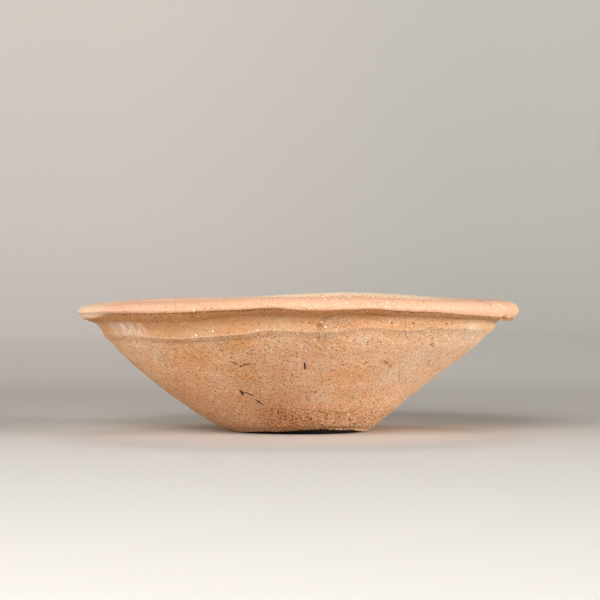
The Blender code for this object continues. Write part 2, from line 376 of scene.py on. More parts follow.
def pits(points, size, share, radius):
    """Round pits, 1 at their middle: one at random in that share of the cubes of that size."""
    low = np.floor(points / size).astype(int)
    deepest = np.zeros(points.shape[:-1])
    for step in product((-1, 0, 1), repeat=3):
        cube = low + step
        at = tuple(np.moveaxis(np.mod(cube, 64), -1, 0))
        jitter = np.stack([chance[k][at] for k in range(3)], axis=-1) * 0.5 + 0.5
        luck = chance[3][at] * 0.5 + 0.5
        away = np.linalg.norm(points - (cube + jitter) * size, axis=-1)
        own_radius = radius * (0.5 + 0.5 * luck / share)
        depth = np.clip(1 - away / own_radius, 0, 1) * (luck < share)
        deepest = np.maximum(deepest, depth)
    return deepest


def spot(at_bearing, at_height):
    """The point of the outer wall at a bearing and a height, read off the column nearest to it.

    The point is then turned about the upright axis by the little that the column is off.
    """
    turned = np.mod(bearings - at_bearing + 180.0, 360.0) - 180.0
    column = smooth[outer[:, 0] > 0, np.abs(turned).argmin()][::-1]
    point = np.array([np.interp(at_height, column[:, 2], column[:, k]) for k in range(3)])
    slant = np.radians(at_bearing) - np.arctan2(point[1], point[0])
    turn = np.array([[np.cos(slant), -np.sin(slant)], [np.sin(slant), np.cos(slant)]])
    point[:2] = turn @ point[:2]
    return point


def stroke(path, width):
    """A stroke along a path of (bearing, height): 1 on its line, 0 at half its width, with thin ends.

    A point's distance is taken to the nearest point of each straight piece of the path.
    """
    ends = [spot(*pair) for pair in path]
    lengths = [np.linalg.norm(b - a) for a, b in zip(ends, ends[1:])]
    field = np.zeros(height.shape)
    done = 0.0
    for a, b, length in zip(ends, ends[1:], lengths):
        share = np.clip(((smooth - a) @ (b - a)) / length**2, 0, 1)
        away = np.linalg.norm(smooth - a - share[..., None] * (b - a), axis=-1)
        whole = (done + share * length) / sum(lengths)
        taper = np.sqrt(np.clip(1 - (2 * whole - 1) ** 2, 0.06, 1))
        field = np.maximum(field, np.clip(1 - away / (0.5 * width * taper), 0, 1))
        done += length
    return field * outer


# Drying cracks: each a path of (bearing, height) over the wall, its width and its depth
CRACKS = (
    (((248.0, 0.0400), (249.0, 0.0389), (250.0, 0.0383)), 0.0013, 0.0008),
    (((250.6, 0.0378), (251.2, 0.0376)), 0.0013, 0.0008),
    (((251.6, 0.0379), (252.9, 0.0384), (254.2, 0.0384)), 0.0012, 0.0008),
    (((245.4, 0.0246), (246.0, 0.0238), (245.9, 0.0214)), 0.0018, 0.0013),
    (((246.0, 0.0236), (247.9, 0.0231), (249.4, 0.0221), (250.5, 0.0211)), 0.0015, 0.0013),
    (((250.9, 0.0195), (251.9, 0.0178), (253.5, 0.0162)), 0.0016, 0.0013),
    (((272.1, 0.0394), (272.45, 0.0374), (272.25, 0.0352)), 0.0012, 0.0010),
)
# Holes where grit fell out or straw burnt away: bearing, height and width
HOLES = (
    (225.6, 0.0594, 0.0017), (216.3, 0.0326, 0.0018), (220.2, 0.0268, 0.0020),
    (301.9, 0.0392, 0.0018), (303.6, 0.0383, 0.0016), (315.4, 0.0488, 0.0016),
)
# The groove where the lip was pressed at its right end
LIP_PRESS = ((329.4, 0.0716), (329.0, 0.0698), (328.4, 0.0682), (328.0, 0.0664))
LIP_PRESS_WIDTH = 0.0034
LIP_PRESS_DEPTH = 0.00065
# The crease under the lip's edge, and the crumbs lost along it
CREASE_PLACE = 0.0007
CREASE_WIDTH = 0.0009
CREASE_DEPTH = 0.0006
CRUMB_CELL = 0.0026
CRUMB_RADIUS = 0.0011
CRUMB_DEPTH = 0.00045
CHIP_DEPTH = 0.00150
# The lip's two ends: a plump roll at the left, and an edge worn round at the right
LEFT_ROLL_HEIGHT = 0.00066
LEFT_EDGE_WEAR = 0.00030
RIGHT_EDGE_WEAR = 0.00100
BEAD_HEIGHT = 0.00008
RIDGE_FILL = 0.00030
FOOT_CORNER_HEIGHT = 0.00050
SAND_HEIGHT = 0.00022
SAND_CELL = 0.0021
SAND_PIT_RADIUS = 0.0009
SAND_PIT_DEPTH = 0.00060
# The potter's finger rings inside
RING_PITCH = 0.0085
RING_HEIGHT = 0.00035
# The skin's grain: each layer's height, the size of its lattice and the layer's number
SKIN_GRAIN = ((0.00016, 0.013, 0), (0.00009, 0.0050, 1), (0.00005, 0.0017, 2))
WHEEL_LINE_HEIGHT = 0.00004

cracks = [(stroke(path, width), depth) for path, width, depth in CRACKS]
holes = [stroke(((at, up), (at + 0.02, up)), width) for at, up, width in HOLES]
lip_press = stroke(LIP_PRESS, LIP_PRESS_WIDTH)

# grain that is drawn out round the bowl, as a hand or the wheel leaves it
swept = smooth * (0.12, 0.12, 1.0)

# the lip was folded down on the wall and its lower edge left ragged: a crease runs under it,
# and fades at the left end, where the lip is a plain roll
under_lip = arc - station_arc["lip edge"]
left_end = between(bearing, 168.0, 200.0, 18.0)
right_end = between(np.mod(bearing + 180.0, 360.0), 166.0, 200.0, 14.0)
ragged = 0.5 + 0.5 * grain(smooth, 0.0022, 1)
open_crease = np.maximum(between(bearing, 213.0, 262.0, 12.0), between(bearing, 284.0, 352.0, 8.0))
crease = near(under_lip, CREASE_PLACE, CREASE_WIDTH) * (0.25 + 0.75 * ragged)
crease = crease * (0.45 + 0.55 * open_crease) * (1 - 0.9 * left_end)
crumbs = pits(smooth, CRUMB_CELL, 0.6, CRUMB_RADIUS)
crumbs = crumbs * between(under_lip, -0.0012, 0.0022, 0.0010) * outer
chips = between(bearing, 336.0, 362.0, 3.0) * between(under_lip, -0.0010, 0.0020, 0.0010) * outer
chips = chips * np.clip(0.35 + 1.6 * grain(smooth, 0.0021, 3), 0, 1)

# the ridge is a thin bead in front, and runs out into a plain corner at the two sides
below_ridge = arc - station_arc["ridge"]
facing = between(bearing, 222.0, 322.0, 22.0)
bead = near(below_ridge, 0.0, 0.0012) * (0.7 + 0.3 * grain(swept, 0.003, 2)) * facing
ridge_fill = near(below_ridge, 0.0022, 0.0024) * (1 - 0.6 * facing)

# sand shows at the foot, most at the front right, where the skin has worn off
worn = between(height, -0.010, 0.0100, 0.0090) * outer
worn = worn * (0.35 + 0.65 * between(bearing, 262.0, 338.0, 22.0))
sandy = worn * grain(smooth, 0.0011, 2) + 0.5 * worn * grain(smooth, 0.0021, 1)
sand_pits = pits(smooth, SAND_CELL, 0.5, SAND_PIT_RADIUS) * worn

# the foot's front edge is sharp
front_foot = between(bearing, 212.0, 336.0, 12.0)
foot_corner = (station_arc["foot edge"] + station_arc["foot rim"]) / 2

# finger rings inside, and fine wheel lines all over
inside = 1 - outer
spiral = np.sin(2 * np.pi * arc / RING_PITCH + np.radians(bearing))
spiral = spiral * (0.6 + 0.4 * grain(swept, 0.009, 1))
wheel_lines = grain(swept, 0.0019, 3) + 0.8 * grain(swept, 0.0046, 0)
above_floor = between(arc, 0.012, 10.0, 0.012)

# the relief: how far each point of the skin stands out in the outward direction
relief = sum(rise * grain(smooth, size, layer) for rise, size, layer in SKIN_GRAIN)
relief = (
    relief
    + WHEEL_LINE_HEIGHT * wheel_lines
    + BEAD_HEIGHT * outer * bead
    + RIDGE_FILL * outer * ridge_fill
    + RING_HEIGHT * inside * spiral * above_floor
    - CREASE_DEPTH * crease
    - CRUMB_DEPTH * crumbs
    - CHIP_DEPTH * chips
    - RIGHT_EDGE_WEAR * right_end * near(under_lip, 0.0, 0.0024) * outer
    + SAND_HEIGHT * sandy
    - SAND_PIT_DEPTH * sand_pits
    + LEFT_ROLL_HEIGHT * left_end * near(under_lip, 0.0016, 0.0026) * outer
    - LEFT_EDGE_WEAR * left_end * near(under_lip, -0.0006, 0.0014) * outer
    + FOOT_CORNER_HEIGHT * front_foot * near(arc, foot_corner, 0.0010)
    - LIP_PRESS_DEPTH * lip_press
)
for field, depth in cracks:
    relief = relief - depth * np.sqrt(field)
for field, (_, _, width) in zip(holes, HOLES):
    relief = relief - 0.4 * width * np.sqrt(field)

# the middle of the inner floor and the flat of the foot stay plain
relief = relief * between(arc, 0.004, station_arc["foot ring"] - 0.004, 0.004)

skin = smooth + outward * relief[..., None]
low_corner, high_corner = (np.array(corner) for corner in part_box("bowl"))
skin = np.clip(skin, low_corner, high_corner)
skin[..., 2][arc >= station_arc["foot ring"]] = 0.0


def quads_round(rings, points):
    """The quads, by vertex numbers, between rings of that many points, numbered ring by ring."""
    i, j = np.meshgrid(np.arange(rings - 1), np.arange(points), indexing="ij")
    j_next = (j + 1) % points
    low, high = i * points, (i + 1) * points
    return np.stack([low + j, high + j, high + j_next, low + j_next], axis=-1).reshape(-1, 4)


# the mesh: quads between the rows, and a fan at each pole
count_rows, count_columns = height.shape
inner_rows = skin[1:-1].reshape(-1, 3)
vertices = np.concatenate([inner_rows, skin[0].mean(axis=0)[None], skin[-1].mean(axis=0)[None]])
quads = quads_round(count_rows - 2, count_columns)
ring = np.arange(count_columns)
ring_next = (ring + 1) % count_columns
last = (count_rows - 3) * count_columns
floor_pole = np.full(count_columns, len(inner_rows))
floor_fan = np.stack([floor_pole, ring, ring_next], axis=-1)
foot_fan = np.stack([floor_pole + 1, last + ring_next, last + ring], axis=-1)

mesh = bpy.data.meshes.new("earthenware_bowl")
loops = np.concatenate([quads.ravel(), floor_fan.ravel(), foot_fan.ravel()]).astype(np.int32)
sizes = np.concatenate([np.full(len(quads), 4), np.full(2 * count_columns, 3)]).astype(np.int32)
starts = np.concatenate([[0], np.cumsum(sizes)[:-1]]).astype(np.int32)
mesh.vertices.add(len(vertices))
mesh.vertices.foreach_set("co", vertices.astype(np.float32).ravel())
mesh.loops.add(len(loops))
mesh.loops.foreach_set("vertex_index", loops)
mesh.polygons.add(len(sizes))
mesh.polygons.foreach_set("loop_start", starts)
mesh.polygons.foreach_set("loop_total", sizes)
mesh.update(calc_edges=True)
mesh.validate()
mesh.shade_smooth()

# Colour that follows the surface is kept on the mesh, a value at each vertex.
# Wipe marks and streaks: a path of (bearing, height) and a width
WIPES = (
    (((203.8, 0.0502), (199.6, 0.0430), (196.5, 0.0349)), 0.0080),
    (((214.5, 0.0479), (209.2, 0.0425), (204.0, 0.0330)), 0.0090),
    (((222.6, 0.0452), (218.0, 0.0430), (213.0, 0.0370)), 0.0080),
    (((218.2, 0.0330), (222.0, 0.0290), (226.0, 0.0262)), 0.0090),
)
STREAKS = (
    (((328.5, 0.0712), (333.0, 0.0695), (337.5, 0.0668)), 0.0050),
    (((324.0, 0.0578), (333.5, 0.0560)), 0.0060),
)
STAINS = (
    (((275.2, 0.0592), (276.8, 0.0580)), 0.0070), (((276.6, 0.0606), (279.4, 0.0640)), 0.0055),
    (((275.6, 0.0530), (276.0, 0.0520)), 0.0036), (((324.0, 0.0714), (328.5, 0.0701)), 0.0042),
    (((287.0, 0.0650), (296.0, 0.0634)), 0.0040),
)
# Patches that the fire left: bearing, height, reach, and how much paler and how much redder
PATCHES = (
    (233.6, 0.0256, 0.016, 0.7, 0.0), (239.8, 0.0104, 0.010, 0.6, 0.2), (276.7, 0.0179, 0.014, 0.7, -0.6),
    (217.1, 0.0368, 0.009, 0.7, 0.0), (324.4, 0.0171, 0.014, 0.6, 0.0), (270.8, 0.0346, 0.010, 0.5, -0.4),
    (251.9, 0.0476, 0.012, -0.9, 0.2), (250.5, 0.0351, 0.010, -0.7, 0.3), (276.9, 0.0518, 0.010, -0.8, 0.0),
    (295.2, 0.0214, 0.010, -0.6, -0.2), (237.0, 0.0417, 0.009, -0.4, 0.6), (259.9, 0.0123, 0.010, -0.7, 0.3),
    (272.1, 0.0513, 0.008, -0.5, 0.1), (231.0, 0.0394, 0.010, 0.0, 0.9), (254.4, 0.0497, 0.007, 0.0, 0.8),
    (252.9, 0.0388, 0.006, 0.0, 0.8), (251.6, 0.0314, 0.006, 0.0, 0.8), (290.8, 0.0231, 0.009, 0.0, 0.5),
    (301.9, 0.0390, 0.007, -0.2, 0.9), (307.7, 0.0205, 0.013, 0.0, 0.6), (239.9, 0.0449, 0.006, 0.0, 0.5),
    (315.4, 0.0481, 0.007, 0.0, 0.4), (277.1, 0.0487, 0.006, 0.0, 0.4), (213.7, 0.0452, 0.007, 0.1, -1.0),
    (218.2, 0.0305, 0.007, 0.0, -0.7), (241.1, 0.0247, 0.008, 0.0, -0.8), (247.8, 0.0167, 0.009, 0.0, -0.8),
    (270.1, 0.0383, 0.010, 0.0, -1.0), (269.2, 0.0462, 0.008, 0.0, -0.8), (280.8, 0.0211, 0.010, 0.2, -1.0),
    (289.2, 0.0496, 0.010, 0.0, -0.9), (304.8, 0.0309, 0.007, 0.0, -0.7), (324.5, 0.0437, 0.009, 0.0, -0.7),
    (294.7, 0.0098, 0.008, 0.0, -0.8), (330.3, 0.0520, 0.009, -0.7, -0.8), (316.0, 0.0360, 0.020, 0.2, -0.8),
    (331.0, 0.0570, 0.016, 0.2, -1.0), (308.0, 0.0240, 0.014, 0.1, -0.6), (344.0, 0.0540, 0.012, 0.5, -0.8),
    (204.0, 0.0560, 0.008, 0.3, -0.8), (233.0, 0.0560, 0.012, -0.3, 0.7), (250.0, 0.0480, 0.012, 0.0, 0.7),
    (240.0, 0.0200, 0.014, 0.0, 0.6), (256.0, 0.0150, 0.014, 0.0, 0.6), (262.0, 0.0060, 0.010, 0.0, 0.7),
    (252.0, 0.0320, 0.012, 0.0, 0.5), (280.0, 0.0120, 0.012, 0.0, 0.4),
)

paler = np.zeros(height.shape)
redder = np.zeros(height.shape)
for at, up, reach, pale_share, red_share in PATCHES:
    away = np.linalg.norm(smooth - spot(at, up), axis=-1) + 0.4 * reach * grain(smooth, 0.6 * reach, 2)
    patch = near(away, 0.0, 1.25 * reach) * outer
    paler += pale_share * patch
    redder += red_share * patch

# what is dark: the cracks, the sand's pits, the pressed groove and the chips, painted dark as shade in these
# hollows
dark = np.clip(sum(np.clip(2.2 * field, 0, 1) for field, _ in cracks), 0, 1)
dark = np.maximum(dark, np.clip(1.2 * sand_pits, 0, 0.5))
dark = np.maximum(dark, 0.35 * np.clip(1.5 * lip_press, 0, 1))
dark = np.maximum(dark, 0.6 * np.clip(2 * chips - 0.8, 0, 1))

# painted shade: the underside of the foot, in the gap in front, is painted near black
foot_gap_shade = between(arc, station_arc["foot rim"], station_arc["foot ring"] - 0.002, 0.0003)
foot_gap_shade = foot_gap_shade * between(bearing, 204.0, 336.0, 8.0)

# salt on the collar at the left, and the marks of wiping, of wet clay and of dirt
salt = between(bearing, 206.5, 220.5, 3.5) * between(height, 0.0540, 0.0588, 0.0020) * outer
wiped, streaked, stained = (
    np.clip(sum(stroke(*mark) for mark in marks) * strength, 0, 1)
    for marks, strength in ((WIPES, 1.6), (STREAKS, 1.4), (STAINS, 1.2))
)

# the lip is pinker than the wall and bleached at its left end and behind; under it and on the collar, shade
# is painted darker and redder
lip_bottom = station_arc["lip edge"] - 0.0004 + 0.0034 * left_end
lip_share = between(arc, station_arc["inner lip"] + 0.004, lip_bottom, 0.0012)
collar_share = between(arc, station_arc["root"], station_arc["ridge"] - 0.0004, 0.0014)
bleached = lip_share * np.maximum(between(bearing, 52.0, 96.0, 30.0), 0.6 * left_end)
# painted shade: the underside of the lip, and half as much the collar below it
under_lip_shade = between(under_lip, 0.0006 + 0.0026 * left_end, 0.0075, 0.0020) * outer
under_lip_shade = np.maximum(under_lip_shade, 0.5 * collar_share)

# the wall is paler round to the right, and browner low down at the left
pallid = between(bearing, 322.0, 350.0, 30.0) * outer
tanned = between(bearing, 200.0, 262.0, 30.0) * between(height, -0.01, 0.018, 0.022) * outer

# how coarse the clay looks: the lip and the collar are smoothed, and the worn foot is sandy
smoothed = 0.18 + 0.25 * between(bearing, 180.0, 262.0, 10.0)
coarseness = 1.0 - 0.50 * lip_share - collar_share * smoothed + 0.9 * worn

# "around" and "down" are lengths along the surface, from the front and from the lip's edge
fields = {
    "dark": dark, "salt": salt, "wiped": wiped, "streaked": streaked, "stained": stained,
    "worn": worn, "lip": lip_share, "bleached": bleached, "coarse": coarseness,
    "paler": paler, "redder": redder, "open": (0.3 + 0.8 * open_crease) * (1 - left_end) * outer,
    "dashed": between(bearing, 226.0, 260.0, 10.0) * outer, "facing": facing * outer,
    "around": np.radians(np.broadcast_to(bearings[None, :], height.shape) - 270.0) * rim_radius,
    "down": under_lip, "under_lip_shade": under_lip_shade, "foot_gap_shade": foot_gap_shade, "pallid": pallid, "tanned": tanned,
}
for name, field in fields.items():
    attribute = mesh.attributes.new(name, "FLOAT", "POINT")
    values = np.concatenate([field[1:-1].ravel(), [field[0].mean(), field[-1].mean()]])
    attribute.data.foreach_set("value", values.astype(np.float32))


def colour(red, green, blue):
    """Linear RGBA for a colour in the 0 to 255 numbers of a colour picker."""
    share = np.array([red, green, blue]) / 255.0
    linear = np.where(share <= 0.04045, share / 12.92, ((share + 0.055) / 1.055) ** 2.4)
    return (*linear, 1.0)


class Wire:
    """A socket in a node tree. Arithmetic on it adds Math nodes, with numbers or other wires.

    A wire with no socket stands for the tree itself, to add its first nodes from.
    """

    def __init__(self, tree, socket=None):
        self.tree = tree
        self.socket = socket

    def node(self, kind, settings, sockets, output=0):
        """Adds a node: its type, its settings, and its sockets' values or wires. Gives an output."""
        made = self.tree.nodes.new("ShaderNode" + kind)
        for name, value in settings.items():
            setattr(made, name, value)
        for name, value in sockets.items():
            if isinstance(value, Wire):
                self.tree.links.new(value.socket, made.inputs[name])
            else:
                made.inputs[name].default_value = value
        return Wire(self.tree, made.outputs[output])

    def maths(self, operation, first, second=0.0):
        """A Math node on two numbers or wires."""
        return self.node("Math", {"operation": operation}, {0: first, 1: second})

    def vector(self, operation, sockets, output=0):
        """A Vector Math node, whose number, if it gives one, is the output Value."""
        return self.node("VectorMath", {"operation": operation}, sockets, output)

    def __add__(self, other):
        return self.maths("ADD", self, other)

    def __sub__(self, other):
        return self.maths("SUBTRACT", self, other)

    def __rsub__(self, other):
        return self.maths("SUBTRACT", other, self)

    def __mul__(self, other):
        return self.maths("MULTIPLY", self, other)

    __radd__ = __add__
    __rmul__ = __mul__

    def ease(self, low, high):
        """0 up to low, 1 from high on, and a smooth rise between them."""
        settings = {"interpolation_type": "SMOOTHSTEP"}
        return self.node("MapRange", settings, {"Value": self, "From Min": low, "From Max": high})

    def beside(self, middle, reach):
        """1 within half the reach of the middle, falling smoothly to 0 at the reach."""
        return (1.0 - self.maths("ABSOLUTE", self - middle) * (1.0 / reach)).ease(0.0, 0.5)

    def mixed(self, share, other, mode="MIX"):
        """This colour with that share of another one over it."""
        settings = {"data_type": "RGBA", "blend_type": mode}
        return self.node("Mix", settings, {0: share, 6: self, 7: other}, 2)

    def blend(self, first, second):
        """From the first colour at 0 to the second one at 1, by this number."""
        return self.node("Mix", {"data_type": "RGBA"}, {0: self, 6: first, 7: second}, 2)

    def parts(self):
        """This colour's or vector's three numbers."""
        first = self.node("SeparateColor", {}, {0: self})
        return [Wire(self.tree, socket) for socket in first.socket.node.outputs]

    def noise(self, scale, detail=2.0, roughness=0.5):
        """Cloudy noise at this place, about 0.5, with that many swells to a metre."""
        sockets = {"Vector": self, "Scale": scale, "Detail": detail, "Roughness": roughness}
        return self.node("TexNoise", {}, sockets)

    def cells(self, scale):
        """Rounded cells, that many to a metre: how far off a cell's middle is, and its three chances."""
        away = self.node("TexVoronoi", {}, {"Vector": self, "Scale": scale}, "Distance")
        return away, *Wire(self.tree, away.socket.node.outputs["Color"]).parts()

    def flecks(self, scale, radius, share):
        """Small round spots, 1 inside: one in that share of the cells, up to that radius in cells."""
        away, luck, _, _ = self.cells(scale)
        return ((share - luck) * (radius / share) - away).ease(0.0, 0.08)

    def dots(self, table):
        """Round spots, 1 inside, at a table's bearings and heights and of its radii in millimetres."""
        gap = None
        for at, up, radius in table:
            away = self.vector("DISTANCE", {0: self, 1: spot(at, up)}, "Value") - radius * 0.001
            gap = away if gap is None else self.maths("MINIMUM", gap, away)
        return (gap * -1.0).ease(-0.00010, 0.00015)

    def lines(self, table, shift=0.0):
        """Lines, 1 inside: each a path of (bearing, height) and a width, all moved down by shift.

        Along a straight piece the nearest point is its start plus that share of its step which
        the dot product gives, held between 0 and 1.
        """
        gap = None
        for path, width in table:
            corners = [spot(at, up) - (0.0, 0.0, shift) for at, up in path]
            for start, end in zip(corners, corners[1:]):
                step = end - start
                here = self.moved(-start)
                sockets = {0: here, 1: step / (step @ step)}
                share = self.vector("DOT_PRODUCT", sockets, "Value")
                share = share.maths("MAXIMUM", share, 0.0)
                share = share.maths("MINIMUM", share, 1.0)
                nearest = self.vector("SCALE", {0: step, "Scale": share})
                away = self.vector("DISTANCE", {0: here, 1: nearest}, "Value") - width / 2
                gap = away if gap is None else self.maths("MINIMUM", gap, away)
        return (gap * -1.0).ease(-0.00012, 0.00018)

    def stretched(self, factors):
        """This vector times a factor along each axis."""
        return self.vector("MULTIPLY", {0: self, 1: factors})

    def moved(self, offset):
        """This vector plus another."""
        return self.vector("ADD", {0: self, 1: offset})

    def field(self, name):
        """The mesh's own value of that name."""
        return self.node("Attribute", {"attribute_name": name}, {}, "Fac")


material = bpy.data.materials.new("fired_silt_clay")
material.use_nodes = True
tree = material.node_tree
shader = tree.nodes["Principled BSDF"]
wires = Wire(tree)
place = wires.node("TexCoord", {}, {}, "Object")
around, down = wires.field("around"), wires.field("down")

CLAY = colour(222, 174, 132)
REDDER = colour(219, 161, 114)
GREYER = colour(208, 174, 140)
PALE = colour(236, 206, 174)
LIP = colour(229, 178, 146)
BLEACHED = colour(240, 218, 186)
# dark brown for painted shade in hollows, and for the dark scratches
SHADE_AND_SCRATCH_BROWN = colour(74, 36, 20)
RUST = colour(186, 98, 54)
SAND = colour(246, 206, 158)
GRIT = colour(255, 250, 238)
SALT_WHITE = colour(236, 224, 212)
STAIN = colour(140, 116, 82)
# a darker, redder tint: painted shade under the lip, and the dulled worn foot
UNDER_LIP_SHADE_AND_WEAR = colour(234, 214, 184)
PALLID = colour(222, 187, 153)
TANNED = colour(196, 142, 100)
# near black, painted as shade in the gap under the foot
PAINTED_SHADE_BLACK = colour(6, 4, 3)

# Tints over the clay: the mesh's field, how strongly, and the colour
TINTS = (
    ("pallid", 0.50, PALLID), ("tanned", 0.55, TANNED), ("lip", 0.80, LIP),
    ("bleached", 0.80, BLEACHED), ("stained", 0.55, STAIN),
)

# White grit and dark pinholes that stand out: bearing, height, and radius in millimetres
GRIT_SPOTS = (
    (274.9, 0.0513, 0.5), (284.2, 0.0536, 0.4), (279.2, 0.0475, 0.5), (265.2, 0.0446, 0.45),
    (270.4, 0.0438, 0.45), (272.5, 0.0456, 0.4), (278.6, 0.0449, 0.4), (240.0, 0.0325, 0.5),
    (231.2, 0.0182, 0.55), (239.9, 0.0243, 0.4), (255.3, 0.0189, 0.5), (255.2, 0.0238, 0.4),
    (233.0, 0.0096, 0.4), (300.1, 0.0112, 0.65), (290.7, 0.0500, 0.4), (297.3, 0.0226, 0.5),
    (249.3, 0.0337, 0.4), (292.4, 0.0702, 0.5), (291.7, 0.0681, 0.5), (295.7, 0.0613, 0.4),
    (309.3, 0.0578, 0.5), (244.3, 0.0661, 0.6), (240.7, 0.0534, 0.6), (239.3, 0.0524, 0.4),
    (246.2, 0.0555, 0.5), (259.1, 0.0563, 0.5), (263.7, 0.0564, 0.5), (268.3, 0.0724, 0.4),
    (276.8, 0.0722, 0.6), (279.7, 0.0717, 0.5), (281.8, 0.0699, 0.4), (285.0, 0.0719, 0.5),
    (272.9, 0.0674, 0.4), (276.4, 0.0604, 0.5), (277.6, 0.0579, 0.5), (284.0, 0.0614, 0.4),
)
PINHOLES = (
    (225.6, 0.0594, 0.7), (216.3, 0.0326, 0.75), (220.2, 0.0268, 0.85), (221.3, 0.0263, 0.55),
    (210.4, 0.0487, 0.6), (248.4, 0.0466, 0.55), (258.6, 0.0452, 0.55), (268.0, 0.0456, 0.5),
    (301.9, 0.0392, 0.8), (303.6, 0.0383, 0.7), (305.0, 0.0372, 0.55), (300.6, 0.0402, 0.55),
    (315.4, 0.0488, 0.7), (316.4, 0.0478, 0.55), (311.2, 0.0491, 0.5), (329.0, 0.0435, 0.5),
    (295.4, 0.0504, 0.6), (301.2, 0.0641, 0.6), (306.2, 0.0623, 0.6), (309.8, 0.0579, 0.5),
    (315.8, 0.0596, 0.55), (245.4, 0.0652, 0.55), (235.5, 0.0648, 0.5), (247.1, 0.0598, 0.5),
    (247.5, 0.0678, 0.45), (249.2, 0.0678, 0.45), (232.7, 0.0503, 0.55), (235.2, 0.0502, 0.55),
    (227.5, 0.0508, 0.5), (258.9, 0.0223, 0.6), (261.8, 0.0162, 0.55), (285.2, 0.0290, 0.55),
    (286.4, 0.0253, 0.5), (262.0, 0.0545, 0.5), (276.2, 0.0526, 0.55), (215.7, 0.0626, 0.55),
    (292.6, 0.0640, 0.55), (303.6, 0.0600, 0.55), (224.1, 0.0411, 0.5),
)

# Flecks: cells to a metre, a fleck's radius in cells, and the share of cells with one
POCKS = (420.0, 0.25, 0.40)
FINE_POCKS = (800.0, 0.36, 0.36)
SAND_POCKS = (820.0, 0.50, 0.66)
RUST_FLECKS = (620.0, 0.38, 0.60)
FINE_GRIT = (520.0, 0.27, 0.40)
SAND_GRIT = (900.0, 0.40, 0.70)
# Grains of sand to a metre, and how far in millimetres rust spreads round a pinhole
SAND_GRAINS = 2300.0
RUST_HALO = 0.5
# How far below a crack its pale lower lip is
CRACK_FRINGE = 0.0008

# Pale scratches down the wall at the right, and a dark one
SCRATCHES = (
    (((306.5, 0.0383), (311.3, 0.0323), (317.9, 0.0261)), 0.0007),
    (((308.6, 0.0383), (311.0, 0.0352)), 0.0005),
)
DARK_SCRATCHES = ((((310.2, 0.0352), (311.7, 0.0334), (316.2, 0.0289)), 0.0005),)

# the clay fired in clouds and bands of slightly different colour
cloud = place.noise(26.0, 3.0).ease(0.35, 0.68)
cloud_b = place.moved((3.1, 1.7, 0.4)).noise(48.0, 4.0, 0.6).ease(0.42, 0.72)
bands = place.stretched((0.35, 0.35, 1.6)).noise(95.0, 3.0).ease(0.35, 0.70)
body = cloud.blend(CLAY, REDDER)
body = body.mixed(cloud_b * 0.6, GREYER)
body = body.mixed(bands * 0.25, PALE)
for name, share, tint in TINTS:
    body = body.mixed(wires.field(name) * share, tint)
# painted shade under the lip and on the collar, and the worn foot dulled, multiplied over the clay
body = body.mixed((wires.field("under_lip_shade") + wires.field("worn") * 0.5).ease(0.0, 1.0), UNDER_LIP_SHADE_AND_WEAR, "MULTIPLY")

# salt and wipe marks are combed down the wall
combing = wires.node("CombineXYZ", {}, {0: around, 1: down * 0.16})
salt_lines = combing.noise(780.0, 3.0, 0.6).ease(0.46, 0.60)
wipe_lines = combing.noise(420.0, 3.0, 0.6).ease(0.46, 0.68)
body = body.mixed(wires.field("wiped") * wipe_lines * 0.8, PALE)
body = body.mixed(wires.field("streaked") * 0.5, PALE)
salt_clusters = combing.noise(150.0, 2.0).ease(0.36, 0.56)
body = body.mixed(wires.field("salt") * (salt_lines * salt_clusters * 0.9 + 0.12), SALT_WHITE)

# grains of sand, each its own tone and hue, over softer mottling
coarse = wires.field("coarse")
mottle = place.noise(420.0, 3.0, 0.65)
speckle = place.noise(1300.0, 2.0, 0.6)
_, tone, hue, _ = place.cells(SAND_GRAINS)
lighter = (mottle - 0.5) * 0.28 + (speckle - 0.5) * 0.72 + (tone - 0.5) * 0.62
lighter = lighter * coarse + wires.field("paler") * 0.12
rosy = place.moved((0.9, 0.2, 0.7)).noise(260.0, 4.0, 0.7)
warmer = (hue - 0.5) * 5.8 * coarse + (rosy - 0.5) * 3.0 + wires.field("redder") * 1.2
red = 1.0 + lighter * 0.85
green = 1.0 + lighter * 1.10 - warmer * 0.045
blue = 1.0 + lighter * 1.45 - warmer * 0.130
grained = wires.node("CombineColor", {}, {0: red, 1: green, 2: blue})
body = body.mixed(1.0, grained, "MULTIPLY")

# the ridge's bead with a painted highlight along it, a thin painted shadow line under it, and the broken
# scratches below that
ridge_down = float(station_arc["ridge"] - station_arc["lip edge"])
wavering = down + (place.noise(260.0) - 0.5) * 0.0022
ridge_highlight = down.beside(ridge_down, 0.0010) * wires.field("facing")
body = body.mixed(ridge_highlight * 0.25, PALE)
ridge_shadow_line = wavering.beside(ridge_down + 0.0007, 0.0009) * place.noise(520.0, 2.0).ease(0.42, 0.60)
dash_place = wires.node("CombineXYZ", {}, {0: around, 1: down * 5.0})
dashes = wavering.beside(ridge_down + 0.0044, 0.0014) * wires.field("dashed")
dashes = dashes * dash_place.noise(420.0, 2.0).ease(0.53, 0.60)

# painted shade along the crease under the lip's ragged lower edge
lip_crease_shade = wavering.beside(CREASE_PLACE, 0.0009) * place.noise(650.0, 2.0).ease(0.40, 0.56)
lip_crease_shade = lip_crease_shade * wires.field("open")

